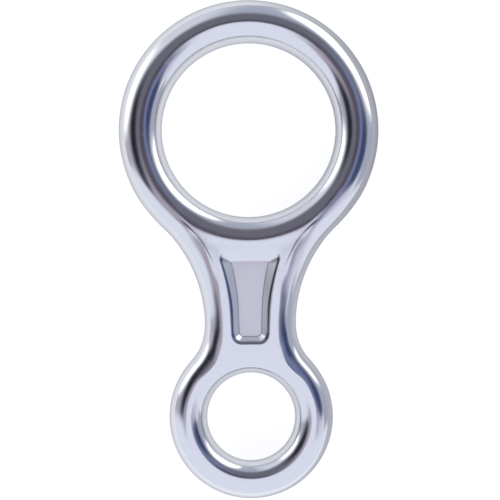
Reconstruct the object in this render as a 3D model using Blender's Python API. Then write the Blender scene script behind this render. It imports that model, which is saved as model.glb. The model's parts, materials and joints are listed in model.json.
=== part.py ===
"""Figure eight descender, a one-piece aluminium forging for braking a rope.

Units are metres, +Z up. The piece lies flat on its back: +Y runs from the small
eye to the large eye, +Z is the face that looks at the user, and the origin is on
the surface it lies on, under the middle of its length and width.

The body is one smooth skin. A coarse cage is spun and drawn out, its points are
set on the designed surface, and a subdivision surface rounds it. Then a shallow
tapered panel is sunk into each face of the shank.
"""

import math

import bmesh
import bpy
import numpy as np
from mathutils import Matrix, Vector
from mathutils.bvhtree import BVHTree

# Large eye, which the bight of rope goes through
LARGE_EYE = 0.0471
LARGE_RING_WIDTH = 0.01165
LARGE_THICKNESS = 0.0120

# Small eye, which takes the karabiner
SMALL_EYE = 0.0238
SMALL_RING_WIDTH = 0.01025
SMALL_THICKNESS = 0.0106
EYE_SPACING = 0.0776

# Shank between the rings
WAIST_WIDTH = 0.0247
WAIST_DROP = 0.0527  # from the large eye's centre down to the narrowest place
EARLY_FALL = 0.5  # 0 for faces that close in evenly, more if faster near the large ring
SADDLE_LIFT = 0.00004  # of the face where it meets the small ring, for a joint without a step
EDGE_ROLL = 0.0054  # width over which the shank's edge rolls round to its side

# Sunk panel in each face, measured from the large eye's centre
PANEL_TOP_DROP = 0.0322
PANEL_FOOT_DROP = 0.0580
PANEL_FOOT_WIDTH = 0.0106
PANEL_SIDE_SLANT = 0.053  # how much each side leans out, per unit of height
PANEL_SIDE_RADIUS = 0.0595  # of the arcs by which the sides bend further out
PANEL_BEND_DROP = 0.0492  # where those arcs start
PANEL_CORNERS = (0.0024, 0.0004)  # radii of the top corners, at the rim and at the floor
PANEL_FOOT_CORNERS = (0.0031, 0.0009)
PANEL_TOP_WALL = 0.0033  # walls from the rim to the floor, seen from above
PANEL_FOOT_WALL = 0.00245
PANEL_SIDE_WALLS = (0.00315, 0.00256)  # of the sides, at the top and at the foot
PANEL_DEPTH = 0.0012  # at the foot, where the face is lowest
PANEL_RIM_RADIUS = 0.0024  # of the rounding where a wall leaves the face
PANEL_FILLET = 0.0004  # of the rounding where it meets the floor
PANEL_MARGIN = 0.0007  # from the rim out to the cage lines that frame it

# How finely the cage is cut
LARGE_COLUMNS = 32
SMALL_COLUMNS = 28
SHANK_COLUMNS = 8
ROLL_STEPS = 3  # cage faces in a quarter of a section
UPPER_ROWS = 7  # from the large ring to the waist, along the edge
LOWER_ROWS = 3  # from the waist to the small ring
PANEL_FIRST_ROW = 1
PANEL_LAST_ROW = 9
RING_SHARES = (0.27, 0.55, 0.70, 0.85)  # places of the cage lines from the panel to the edge, at a ring
SHANK_SHARES = (0.20, 0.40, 0.60, 0.80)  # and along the shank
LEAST_FACE = 0.95  # share of the metal beside the panel that the edge roll may take
LEAST_LENGTH = 1e-6
SETTLING_ROUNDS = 8
SUBDIVISIONS = 1
APRON_STATIONS = (-0.5,)  # shares of the way from the frame, at -1, to the panel's rim
WALL_STATIONS = (0.0, 0.25, 0.5, 0.9, 1.0)  # and down the wall, from the rim to the floor
CORNER_STEPS = 12  # points to which the panel's outline is first drawn
SIDE_STEPS = 24

ALUMINIUM = (0.80, 0.81, 0.84, 1.0)

# Worked out from the sizes above
large_radius = LARGE_EYE / 2 + LARGE_RING_WIDTH
small_radius = SMALL_EYE / 2 + SMALL_RING_WIDTH
length = large_radius + EYE_SPACING + small_radius
large_y = length / 2 - large_radius
small_y = large_y - EYE_SPACING
large_crest = LARGE_EYE / 2 + LARGE_RING_WIDTH / 2
small_crest = SMALL_EYE / 2 + SMALL_RING_WIDTH / 2
waist_half = WAIST_WIDTH / 2
waist_y = large_y - WAIST_DROP
lower_drop = EYE_SPACING - WAIST_DROP
half_columns = SHANK_COLUMNS // 2
half_panel = half_columns // 2
last_row = UPPER_ROWS + LOWER_ROWS
back_step = 2 * ROLL_STEPS
large_corner = half_columns * 2 * math.pi / LARGE_COLUMNS
small_corner = half_columns * 2 * math.pi / SMALL_COLUMNS
crown_y = large_y - large_crest
saddle_y = small_y + small_crest
panel_top_y = large_y - PANEL_TOP_DROP
panel_foot_y = large_y - PANEL_FOOT_DROP
panel_bend_y = large_y - PANEL_BEND_DROP


def hollow_radius(ring, drop):
    """Radius of the side arc that touches a ring and stands upright at the waist."""
    return (waist_half**2 + drop**2 - ring**2) / (2 * (ring - waist_half))


upper_radius = hollow_radius(large_radius, WAIST_DROP)
lower_radius = hollow_radius(small_radius, lower_drop)
upper_leave = math.atan2(waist_half + upper_radius, WAIST_DROP)
lower_leave = math.atan2(waist_half + lower_radius, lower_drop)


def clear_scene():
    for obj in list(bpy.data.objects):
        bpy.data.objects.remove(obj)


def face_height(x, y):
    """Half the thickness of the shank's face, which falls from the large ring to the small one."""
    out = math.hypot(x, y - large_y) - large_crest
    left = 1 - min(1.0, max(0.0, out / (crown_y - saddle_y)))
    left = left + EARLY_FALL * (left**2 - left)
    high, low = LARGE_THICKNESS / 2, SMALL_THICKNESS / 2 + SADDLE_LIFT
    return low + (high - low) * left


def edge_point(row):
    """Right-hand outline of the shank at a row: its point and the way out of the metal."""
    if row <= UPPER_ROWS:
        lead = large_radius * max(0.0, large_corner - upper_leave)
        run = lead + upper_radius * (math.pi / 2 - upper_leave)
        along = run * row / UPPER_ROWS
        if along < lead:
            turn = large_corner - along / large_radius
            out = Vector((math.sin(turn), -math.cos(turn)))
            return Vector((0, large_y)) + out * large_radius, out
        turn = (run - along) / upper_radius
        hub = Vector((waist_half + upper_radius, waist_y))
        inward = Vector((-math.cos(turn), math.sin(turn)))
        return hub + inward * upper_radius, -inward
    tail = small_radius * max(0.0, small_corner - lower_leave)
    sweep = lower_radius * (math.pi / 2 - lower_leave)
    along = (sweep + tail) * (row - UPPER_ROWS) / LOWER_ROWS
    if along > sweep:
        turn = lower_leave + (along - sweep) / small_radius
        out = Vector((math.sin(turn), math.cos(turn)))
        return Vector((0, small_y)) + out * small_radius, out
    turn = along / lower_radius
    hub = Vector((waist_half + lower_radius, waist_y))
    inward = Vector((-math.cos(turn), -math.sin(turn)))
    return hub + inward * lower_radius, -inward


def middle_y(row):
    """Where a row crosses the centre line."""
    top = panel_top_y + PANEL_MARGIN
    foot = panel_foot_y - PANEL_MARGIN
    if row < PANEL_FIRST_ROW:
        return crown_y + (top - crown_y) * row / PANEL_FIRST_ROW
    if row <= PANEL_LAST_ROW:
        share = (row - PANEL_FIRST_ROW) / (PANEL_LAST_ROW - PANEL_FIRST_ROW)
        return top + (foot - top) * share
    share = (row - PANEL_LAST_ROW) / (last_row - PANEL_LAST_ROW)
    return foot + (saddle_y - foot) * share


def panel_half_width(y, share=0.0):
    """Half the panel's width at a height, at a share of the wall: 0 at the rim, 1 at the floor."""
    rise = min(max(y - panel_bend_y, 0.0), PANEL_SIDE_RADIUS / 2)
    rim = PANEL_FOOT_WIDTH / 2 + PANEL_SIDE_SLANT * (y - panel_foot_y)
    rim += PANEL_SIDE_RADIUS - math.sqrt(PANEL_SIDE_RADIUS**2 - rise**2)
    up = (y - panel_foot_y) / (panel_top_y - panel_foot_y)
    high, low = PANEL_SIDE_WALLS
    return rim - share * (low + (high - low) * up)


def frame_x(row):
    """Sideways place of the cage line that frames the panel, which spreads at the rings."""
    crown = large_crest * math.sin(large_corner / 2)
    saddle = small_crest * math.sin(small_corner / 2)
    beside = min(max(row, PANEL_FIRST_ROW), PANEL_LAST_ROW)
    rim = panel_half_width(middle_y(beside)) + PANEL_MARGIN
    if row < PANEL_FIRST_ROW:
        return crown + (rim - crown) * row / PANEL_FIRST_ROW
    if row > PANEL_LAST_ROW:
        return rim + (saddle - rim) * (row - PANEL_LAST_ROW) / (last_row - PANEL_LAST_ROW)
    return rim


def roll_width(row, room):
    """Width of the rolled edge at a row, limited by the metal beside the panel."""
    upper = min(1.0, row / PANEL_FIRST_ROW)
    lower = max(0.0, (row - UPPER_ROWS) / LOWER_ROWS)
    roll = LARGE_RING_WIDTH / 2 + (EDGE_ROLL - LARGE_RING_WIDTH / 2) * upper
    roll += (SMALL_RING_WIDTH / 2 - EDGE_ROLL) * lower
    return min(roll, LEAST_FACE * room)


def line_share(line, row):
    """Place of a cage line, from 0 at the panel's frame to 1 at the outermost line."""
    if line in (0, len(RING_SHARES) + 1):
        return min(line, 1)
    even = min(row, last_row - row, PANEL_FIRST_ROW) / PANEL_FIRST_ROW
    ring, shank = RING_SHARES[line - 1], SHANK_SHARES[line - 1]
    return ring + (shank - ring) * even


def quarter_length(a, b):
    """Length of a quarter of an ellipse, very nearly."""
    return math.pi * (3 * (a + b) - math.sqrt((3 * a + b) * (a + 3 * b))) / 4


def outer_point(line, row):
    """Point between the panel's frame (line 0) and the outermost line, on the front face."""
    edge, out = edge_point(row)
    frame = frame_x(row)
    roll = roll_width(row, edge.x - frame)
    inner = edge - out * roll
    start = Vector((frame, row_y(row, frame, inner)))
    height = face_height(inner.x, inner.y)
    face_run = (inner - start).length
    roll_run = quarter_length(roll, height)
    along = line_share(line, row) * (face_run + roll_run)
    if along <= face_run:
        place = start.lerp(inner, along / max(face_run, LEAST_LENGTH))
        place.y = row_y(row, place.x, inner)
        return Vector((place.x, place.y, face_height(place.x, place.y)))
    turn = math.pi / 2 * (along - face_run) / roll_run
    place = inner + out * (roll * math.sin(turn))
    return Vector((place.x, place.y, height * math.cos(turn)))


def row_y(row, x, inner):
    """A row runs straight over the panel and bends up to where the edge roll starts."""
    middle = middle_y(row)
    return middle + (inner.y - middle) * (x / inner.x) ** 3


def shank_point(column, step, row):
    """Designed place of a cage point. Step 0 is the front face and back_step the back."""
    side = -1 if column < 0 else 1
    front = 1 if step <= ROLL_STEPS else -1
    round_step = min(step, back_step - step)
    line = abs(column) - half_panel + round_step
    if abs(column) >= half_panel:
        point = outer_point(line, row)
        return Vector((side * point.x, point.y, front * point.z))
    edge, out = edge_point(row)
    inner = edge - out * roll_width(row, edge.x - frame_x(row))
    x = frame_x(row) * abs(column) / half_panel
    y = row_y(row, x, inner)
    return Vector((side * x, y, front * face_height(x, y)))


def ring_section(width, thickness):
    """Closed oval section of a ring as (distance in from the outer edge, height) points."""
    count = 4 * ROLL_STEPS
    turns = [math.pi / 2 - 2 * math.pi * i / count for i in range(count)]
    return [(width / 2 * (1 - math.cos(t)), thickness / 2 * math.sin(t)) for t in turns]


def cut_out(bm, faces):
    """Takes a patch of faces away and returns the edges round the hole."""
    patch = set(faces)
    edges = {edge for face in faces for edge in face.edges}
    rim = [edge for edge in edges if sum(face in patch for face in edge.link_faces) == 1]
    bmesh.ops.delete(bm, geom=faces, context="FACES")
    return rim


def spin_ring(bm, centre_y, radius, section, columns, facing):
    """Spins a ring, opens the side that faces the other ring and returns the rim of that gap."""
    centre = Vector((0, centre_y, 0))
    verts = [bm.verts.new((0, centre_y + facing * (radius - d), z)) for d, z in section]
    edges = [bm.edges.new(pair) for pair in zip(verts, verts[1:] + verts[:1])]
    known = set(bm.faces)
    bmesh.ops.spin(
        bm,
        geom=verts + edges,
        cent=centre,
        axis=(0, 0, 1),
        angle=2 * math.pi,
        steps=columns,
        use_merge=True,
    )
    crest = (radius - section[0][0]) * math.cos(math.pi / columns)
    corner = half_columns * 2 * math.pi / columns
    gap = []
    for face in set(bm.faces) - known:
        away = face.calc_center_median() - centre
        turn = math.atan2(abs(away.x), facing * away.y)
        if turn < corner and away.xy.length > crest:
            gap.append(face)
    return cut_out(bm, gap)


def label_rim(rim, centre_y, columns, facing):
    """Names each point of a gap's rim by its column and its step round the section."""
    labels = {}
    for vert in {vert for edge in rim for vert in edge.verts}:
        away = vert.co - Vector((0, centre_y, 0))
        turn = math.atan2(away.x, facing * away.y)
        column = round(turn * columns / (2 * math.pi))
        if abs(column) < half_columns:
            labels[vert] = (column, 0 if vert.co.z > 0 else back_step)
    for side in (-half_columns, half_columns):
        ends = [vert for edge in rim for vert in edge.verts if vert not in labels]
        ends = {vert for vert in ends if vert.co.x * side > 0}
        ordered = sorted(ends, key=lambda vert: -vert.co.z)
        for step, vert in enumerate(ordered):
            labels[vert] = (side, step)
    return labels


def extrude_rim(bm, rim, known):
    """Draws a rim of edges out by one row. Each new point keeps what is known of its parent."""
    made = bmesh.ops.extrude_edge_only(bm, edges=rim)["geom"]
    rim = [item for item in made if isinstance(item, bmesh.types.BMEdge)]
    faces = [item for item in made if isinstance(item, bmesh.types.BMFace)]
    grown = {}
    for item in made:
        if isinstance(item, bmesh.types.BMVert):
            near = (edge.other_vert(item) for edge in item.link_edges)
            grown[item] = next(known[vert] for vert in near if vert in known)
    return rim, faces, grown


def draw_shank(bm, rim, labels):
    """Draws the large ring's gap out row by row. Returns the last rim and the panel's faces."""
    panel = []
    for row in range(1, last_row):
        rim, faces, labels = extrude_rim(bm, rim, labels)
        for vert, (column, step) in labels.items():
            vert.co = shank_point(column, step, row)
        if not PANEL_FIRST_ROW < row <= PANEL_LAST_ROW:
            continue
        for face in faces:
            columns = [labels[vert][0] for vert in face.verts if vert in labels]
            if max(abs(column) for column in columns) <= half_panel:
                panel.append(face)
    return rim, panel


def settle_cage(bm):
    """Moves the cage's points out until the rounded surface passes through where they stand now."""
    bm.verts.index_update()
    count = len(bm.verts)
    wanted = np.array([vert.co for vert in bm.verts])
    near, far = [], []
    for vert in bm.verts:
        near += [(vert.index, edge.other_vert(vert).index) for edge in vert.link_edges]
        for loop in vert.link_loops:
            far.append((vert.index, loop.link_loop_next.link_loop_next.vert.index))
    near, far = np.array(near), np.array(far)
    valence = np.bincount(near[:, 0], minlength=count)[:, None]
    cage = wanted.copy()
    for _ in range(SETTLING_ROUNDS):
        total = valence**2 * cage
        np.add.at(total, near[:, 0], 4 * cage[near[:, 1]])
        np.add.at(total, far[:, 0], cage[far[:, 1]])
        cage += wanted - total / (valence * (valence + 5))
    for vert, place in zip(bm.verts, cage):
        vert.co = place


def make_cage():
    """The coarse closed skin: two rings and the shank between them."""
    bm = bmesh.new()
    large = ring_section(LARGE_RING_WIDTH, LARGE_THICKNESS)
    small = ring_section(SMALL_RING_WIDTH, SMALL_THICKNESS)
    large_rim = spin_ring(bm, large_y, large_radius, large, LARGE_COLUMNS, -1)
    small_rim = spin_ring(bm, small_y, small_radius, small, SMALL_COLUMNS, 1)
    labels = label_rim(large_rim, large_y, LARGE_COLUMNS, -1)
    last_rim, panel = draw_shank(bm, large_rim, labels)
    bmesh.ops.bridge_loops(bm, edges=last_rim + small_rim)
    for face in panel:
        face.material_index = 1
    settle_cage(bm)
    bmesh.ops.recalc_face_normals(bm, faces=bm.faces)
    return bm


def rounded_skin(cage):
    """The cage rounded by a subdivision surface, as a new bmesh."""
    mesh = bpy.data.meshes.new("cage")
    cage.to_mesh(mesh)
    helper = bpy.data.objects.new("cage", mesh)
    bpy.context.scene.collection.objects.link(helper)
    rounding = helper.modifiers.new("rounding", "SUBSURF")
    rounding.levels = SUBDIVISIONS
    rounding.render_levels = SUBDIVISIONS
    skin = bmesh.new()
    skin.from_object(helper, bpy.context.evaluated_depsgraph_get())
    bpy.data.objects.remove(helper)
    bpy.data.meshes.remove(mesh)
    return skin


def corner_arc(corner, radius, start):
    """A quarter turn round a corner, clockwise from a start angle."""
    turns = [start - math.pi / 2 * i / CORNER_STEPS for i in range(CORNER_STEPS + 1)]
    return [corner + Vector((math.cos(t), math.sin(t))) * radius for t in turns]


def panel_right_half(share):
    """Right half of the panel's outline at a share of the wall, from the top to the foot."""
    top = panel_top_y - share * PANEL_TOP_WALL
    foot = panel_foot_y + share * PANEL_FOOT_WALL
    upper = PANEL_CORNERS[0] + share * (PANEL_CORNERS[1] - PANEL_CORNERS[0])
    lower = PANEL_FOOT_CORNERS[0] + share * (PANEL_FOOT_CORNERS[1] - PANEL_FOOT_CORNERS[0])
    upper_hub = Vector((panel_half_width(top - upper, share) - upper, top - upper))
    lower_hub = Vector((panel_half_width(foot + lower, share) - lower, foot + lower))
    points = [Vector((0, top))]
    points += corner_arc(upper_hub, upper, math.pi / 2)
    for i in range(1, SIDE_STEPS):
        y = upper_hub.y + (lower_hub.y - upper_hub.y) * i / SIDE_STEPS
        points.append(Vector((panel_half_width(y, share), y)))
    points += corner_arc(lower_hub, lower, 0.0)
    points.append(Vector((0, foot)))
    return points


def spread(points, count):
    """count + 1 points along a polyline, closer together where it turns."""
    steps = [(b - a).length for a, b in zip(points, points[1:])]
    turns = [0.0]
    for a, b, c in zip(points, points[1:], points[2:]):
        turns.append(abs((b - a).angle(c - b, 0.0)))
    weights = [step + PANEL_CORNERS[0] * turn for step, turn in zip(steps, turns)]
    marks = np.concatenate([[0], np.cumsum(weights)])
    wanted = np.linspace(0, marks[-1], count + 1)
    xs = np.interp(wanted, marks, [p.x for p in points])
    ys = np.interp(wanted, marks, [p.y for p in points])
    return [Vector(pair) for pair in zip(xs, ys)]


def mirrored(points):
    """The points on the other side of the centre line, in reverse order."""
    return [Vector((-p.x, p.y)) for p in reversed(points)]


def panel_outline(share, top_count, side_count):
    """Closed outline, clockwise from the middle of the top right corner."""
    half = panel_right_half(share)
    upper = 1 + CORNER_STEPS // 2
    lower = len(half) - 1 - upper
    right = spread(half[upper : lower + 1], side_count)
    foot = spread(half[lower:] + mirrored(half[lower:])[1:], top_count)
    top = spread(mirrored(half[: upper + 1]) + half[1 : upper + 1], top_count)
    return right[:-1] + foot[:-1] + mirrored(right)[:-1] + top[:-1]


def wall_fall(share, run, depth):
    """Fall at a share of a wall's run: round over the rim, down a straight slope, round to the floor."""
    rounds = PANEL_RIM_RADIUS + PANEL_FILLET
    straight = math.sqrt(max(0.0, run**2 + depth**2 - 2 * rounds * depth))
    slope = math.atan2(rounds, straight) - math.atan2(rounds - depth, run)
    reach, left = share * run, (1 - share) * run
    if reach <= PANEL_RIM_RADIUS * math.sin(slope):
        return PANEL_RIM_RADIUS - math.sqrt(PANEL_RIM_RADIUS**2 - reach**2)
    if left <= PANEL_FILLET * math.sin(slope):
        return depth - PANEL_FILLET + math.sqrt(PANEL_FILLET**2 - left**2)
    rolled = PANEL_RIM_RADIUS * (1 - math.cos(slope))
    return rolled + (reach - PANEL_RIM_RADIUS * math.sin(slope)) * math.tan(slope)


def clockwise(edges):
    """The points round a closed loop of edges, clockwise as seen from the front."""
    order = list(edges[0].verts)
    left = set(edges) - {edges[0]}
    while left:
        step = next(edge for edge in order[-1].link_edges if edge in left)
        left.discard(step)
        order.append(step.other_vert(order[-1]))
    order.pop()
    following = order[1:] + order[:1]
    area = sum(a.co.x * b.co.y - b.co.x * a.co.y for a, b in zip(order, following))
    return order if area < 0 else order[::-1]


def sink_panel(skin, front):
    """Opens a face over the panel, draws the rim of the hole in to the panel and down to its floor."""
    face_tree = BVHTree.FromBMesh(skin)

    def face_over(place):
        """Height of the face before it was opened, whichever way it looks."""
        above = Vector((place.x, place.y, front * LARGE_THICKNESS))
        return abs(face_tree.ray_cast(above, Vector((0, 0, -front)))[0].z)

    patch = [face for face in skin.faces if face.material_index == 1]
    patch = [face for face in patch if face.calc_center_median().z * front > 0]
    rim = cut_out(skin, patch)
    order = clockwise(rim)
    corner = shank_point(half_panel, 0, PANEL_FIRST_ROW).xy
    first = min(range(len(order)), key=lambda i: (order[i].co.xy - corner).length)
    places = {vert: (i - first) % len(order) for i, vert in enumerate(order)}
    border = {i: vert.co.xy for vert, i in places.items()}
    top_count = 2 * half_panel * 2**SUBDIVISIONS
    side_count = (PANEL_LAST_ROW - PANEL_FIRST_ROW) * 2**SUBDIVISIONS
    brink = panel_outline(0.0, top_count, side_count)
    foot = panel_outline(1.0, top_count, side_count)
    floor = face_height(0, panel_foot_y) - PANEL_DEPTH
    for station in APRON_STATIONS + WALL_STATIONS:
        rim, _, places = extrude_rim(skin, rim, places)
        for vert, i in places.items():
            if station < 0:
                place = brink[i].lerp(border[i], -station)
                fall = 0.0
            else:
                place = brink[i].lerp(foot[i], station)
                run = (foot[i] - brink[i]).length
                fall = wall_fall(station, run, face_over(foot[i]) - floor)
            vert.co = (place.x, place.y, front * (face_over(place) - fall))
    bmesh.ops.edgeloop_fill(skin, edges=rim)


def metal():
    material = bpy.data.materials.new("polished_aluminium")
    material.use_nodes = True
    shader = material.node_tree.nodes["Principled BSDF"]
    shader.inputs["Base Color"].default_value = ALUMINIUM
    shader.inputs["Metallic"].default_value = 1.0
    shader.inputs["Roughness"].default_value = 0.18
    return material


def make_body():
    cage = make_cage()
    skin = rounded_skin(cage)
    cage.free()
    for front in (1, -1):
        sink_panel(skin, front)
    for face in skin.faces:
        face.material_index = 0
    bmesh.ops.recalc_face_normals(skin, faces=skin.faces)
    lowest = min(vert.co.z for vert in skin.verts)
    lift = Matrix.Translation((0, 0, -lowest))
    bmesh.ops.transform(skin, matrix=lift, verts=skin.verts)
    mesh = bpy.data.meshes.new("forged_body")
    skin.to_mesh(mesh)
    skin.free()
    mesh.shade_smooth()
    mesh.materials.append(metal())
    body = bpy.data.objects.new("forged_body", mesh)
    bpy.context.scene.collection.objects.link(body)
    return body


clear_scene()
body = make_body()
print(body.name, len(body.data.polygons), "faces", "length", round(length * 1000, 2), "mm")
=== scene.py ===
# %% [markdown]
# # Figure eight descender
# A climber's brake for rope, forged in one piece from aluminium bar. The bight of rope goes
# through the large eye and over the shank, and a karabiner sits in the small eye. This lesson
# builds its polished skin, gives it two finishes and puts it in a small studio.
# The imported model is loaded first, and its size is printed.

# %% Load the imported model
import json
import math

import bmesh
import bpy
import numpy as np
from mathutils import Matrix, Vector
from mathutils.bvhtree import BVHTree

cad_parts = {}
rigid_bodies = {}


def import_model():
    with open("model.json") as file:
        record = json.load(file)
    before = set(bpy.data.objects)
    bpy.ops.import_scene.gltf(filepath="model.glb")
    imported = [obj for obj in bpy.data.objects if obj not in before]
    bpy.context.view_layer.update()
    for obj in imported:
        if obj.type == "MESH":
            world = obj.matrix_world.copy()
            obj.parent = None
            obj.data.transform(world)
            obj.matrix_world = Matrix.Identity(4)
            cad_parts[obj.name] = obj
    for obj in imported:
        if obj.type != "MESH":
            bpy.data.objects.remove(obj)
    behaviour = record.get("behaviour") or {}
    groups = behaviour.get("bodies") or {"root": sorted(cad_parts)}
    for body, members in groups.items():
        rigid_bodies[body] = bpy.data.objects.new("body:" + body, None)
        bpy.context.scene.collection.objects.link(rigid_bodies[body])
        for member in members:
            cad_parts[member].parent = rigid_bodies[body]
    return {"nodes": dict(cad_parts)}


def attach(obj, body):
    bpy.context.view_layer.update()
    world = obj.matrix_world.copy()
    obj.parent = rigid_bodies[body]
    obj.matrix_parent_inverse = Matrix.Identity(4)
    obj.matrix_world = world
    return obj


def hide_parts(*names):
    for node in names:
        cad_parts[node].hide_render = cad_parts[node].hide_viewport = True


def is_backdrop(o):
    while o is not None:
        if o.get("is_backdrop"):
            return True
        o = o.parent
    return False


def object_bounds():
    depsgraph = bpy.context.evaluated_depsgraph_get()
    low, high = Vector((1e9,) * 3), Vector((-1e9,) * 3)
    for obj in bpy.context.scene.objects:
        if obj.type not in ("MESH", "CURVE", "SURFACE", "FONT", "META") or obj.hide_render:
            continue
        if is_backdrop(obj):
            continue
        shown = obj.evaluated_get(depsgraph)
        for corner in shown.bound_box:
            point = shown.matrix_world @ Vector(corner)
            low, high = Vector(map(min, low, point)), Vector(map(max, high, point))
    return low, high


MM = 0.001

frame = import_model()
cad_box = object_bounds()
cad_size = [round((high - low) / MM, 2) for low, high in zip(*cad_box)]
print("packed model:", sorted(frame["nodes"]), cad_size, "mm")

# %% [markdown]
# ## How to model a forging
# Such a brake has no flat sides and no sharp edges, because rope and hands run over all of it.
# Cutting it out of blocks and bevelling the edges would leave seams, and polished metal shows
# every seam as a kink in its reflections. So the body starts as one coarse cage, with four
# corners to every face, that a subdivision surface rounds. Two rings are spun, and the shank is
# drawn out of the large one row by row until it can be joined to the small one.

# %% Sizes of the two rings
LARGE_EYE = 47.1 * MM
LARGE_RING_WIDTH = 11.65 * MM
LARGE_THICKNESS = 12.0 * MM
SMALL_EYE = 23.8 * MM
SMALL_RING_WIDTH = 10.25 * MM
SMALL_THICKNESS = 10.6 * MM
EYE_SPACING = 77.6 * MM

large_radius = LARGE_EYE / 2 + LARGE_RING_WIDTH
small_radius = SMALL_EYE / 2 + SMALL_RING_WIDTH
length = large_radius + EYE_SPACING + small_radius
large_y = length / 2 - large_radius
small_y = large_y - EYE_SPACING
large_crest = LARGE_EYE / 2 + LARGE_RING_WIDTH / 2
small_crest = SMALL_EYE / 2 + SMALL_RING_WIDTH / 2
print("length", round(length / MM, 2), "mm, eyes at y", round(large_y / MM, 1), round(small_y / MM, 1))

# %% [markdown]
# ## Spinning the rings
# A ring's section is a circle pressed into an oval, wider than the stock is thick. The spin
# operator takes it once round the eye. `use_merge` closes the ring on itself, or else two
# layers of points would lie on each other at the start.
# The cage is coarse on purpose: with few points every ripple can be seen and mended.

# %% Spin a ring and open it towards the shank
LARGE_COLUMNS = 32
SMALL_COLUMNS = 28
SHANK_COLUMNS = 8
ROLL_STEPS = 3

half_columns = SHANK_COLUMNS // 2
half_panel = half_columns // 2
large_corner = half_columns * 2 * math.pi / LARGE_COLUMNS
small_corner = half_columns * 2 * math.pi / SMALL_COLUMNS


def cut_out(bm, faces):
    """Takes a patch of faces away and returns the edges round the hole."""
    patch = set(faces)
    edges = {edge for face in faces for edge in face.edges}
    rim = [edge for edge in edges if sum(face in patch for face in edge.link_faces) == 1]
    bmesh.ops.delete(bm, geom=faces, context="FACES")
    return rim


def spin_ring(bm, centre_y, radius, width, thickness, columns, facing):
    """Spins a ring and opens its side that faces the other ring. Returns the rim of that gap."""
    centre = Vector((0, centre_y, 0))
    crest = radius - width / 2
    place = Matrix.Translation(centre + Vector((0, facing * crest, 0)))
    upright = Matrix.Rotation(math.pi / 2, 4, "Y")
    oval = Matrix.Diagonal((thickness / 2, width / 2, 1, 1))
    known = set(bm.faces)
    section = bmesh.ops.create_circle(
        bm, segments=4 * ROLL_STEPS, radius=1, matrix=place @ upright @ oval
    )["verts"]
    edges = list({edge for vert in section for edge in vert.link_edges})
    bmesh.ops.spin(
        bm,
        geom=section + edges,
        cent=centre,
        axis=(0, 0, 1),
        angle=2 * math.pi,
        steps=columns,
        use_merge=True,
    )
    corner = half_columns * 2 * math.pi / columns
    gap = []
    for face in set(bm.faces) - known:
        away = face.calc_center_median() - centre
        turn = math.atan2(abs(away.x), facing * away.y)
        if turn < corner and away.xy.length > crest * math.cos(math.pi / columns):
            gap.append(face)
    return cut_out(bm, gap)


cage = bmesh.new()
large_rim = spin_ring(cage, large_y, large_radius, LARGE_RING_WIDTH, LARGE_THICKNESS, LARGE_COLUMNS, -1)
small_rim = spin_ring(cage, small_y, small_radius, SMALL_RING_WIDTH, SMALL_THICKNESS, SMALL_COLUMNS, 1)
print("rings:", len(cage.faces), "faces, gaps with", len(large_rim), "and", len(small_rim), "edges")

# %% [markdown]
# ## The shank's outline
# Seen from above the shank is a waist between two circles. Each side is two hollow arcs that
# meet at the narrowest place. An arc that touches its ring and stands upright at the waist has
# only one possible radius, so it is worked out from the sizes and not typed.

# %% Work out the hollow sides
WAIST_WIDTH = 24.7 * MM
WAIST_DROP = 52.7 * MM
UPPER_ROWS = 7
LOWER_ROWS = 3

waist_half = WAIST_WIDTH / 2
waist_y = large_y - WAIST_DROP
lower_drop = EYE_SPACING - WAIST_DROP
last_row = UPPER_ROWS + LOWER_ROWS


def hollow_radius(ring, drop):
    """Radius of the side arc that touches a ring and stands upright at the waist."""
    return (waist_half**2 + drop**2 - ring**2) / (2 * (ring - waist_half))


upper_radius = hollow_radius(large_radius, WAIST_DROP)
lower_radius = hollow_radius(small_radius, lower_drop)
upper_leave = math.atan2(waist_half + upper_radius, WAIST_DROP)
lower_leave = math.atan2(waist_half + lower_radius, lower_drop)


def edge_point(row):
    """Right-hand outline of the shank at a row: its point and the way out of the metal."""
    if row <= UPPER_ROWS:
        lead = large_radius * max(0.0, large_corner - upper_leave)
        run = lead + upper_radius * (math.pi / 2 - upper_leave)
        along = run * row / UPPER_ROWS
        if along < lead:
            turn = large_corner - along / large_radius
            out = Vector((math.sin(turn), -math.cos(turn)))
            return Vector((0, large_y)) + out * large_radius, out
        turn = (run - along) / upper_radius
        hub = Vector((waist_half + upper_radius, waist_y))
        inward = Vector((-math.cos(turn), math.sin(turn)))
        return hub + inward * upper_radius, -inward
    tail = small_radius * max(0.0, small_corner - lower_leave)
    sweep = lower_radius * (math.pi / 2 - lower_leave)
    along = (sweep + tail) * (row - UPPER_ROWS) / LOWER_ROWS
    if along > sweep:
        turn = lower_leave + (along - sweep) / small_radius
        out = Vector((math.sin(turn), math.cos(turn)))
        return Vector((0, small_y)) + out * small_radius, out
    turn = along / lower_radius
    hub = Vector((waist_half + lower_radius, waist_y))
    inward = Vector((-math.cos(turn), -math.sin(turn)))
    return hub + inward * lower_radius, -inward


print("side arcs:", round(upper_radius / MM, 1), "and", round(lower_radius / MM, 1), "mm")

# %% [markdown]
# ## The shank's face
# From the crest of the large ring the shank's two faces come closer together towards the small
# ring, faster at first and slower later. So they are never quite level, and the metal mirrors
# the near wall of the room there and not the dark lens. They end a hair above the small ring's
# crest, because a face that dipped there would mirror a dark line. One function gives half the
# thickness anywhere, so that the face, the panel and the edges can't disagree.

# %% Height of the face
EARLY_FALL = 0.5
SADDLE_LIFT = 0.04 * MM

crown_y = large_y - large_crest
saddle_y = small_y + small_crest


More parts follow.
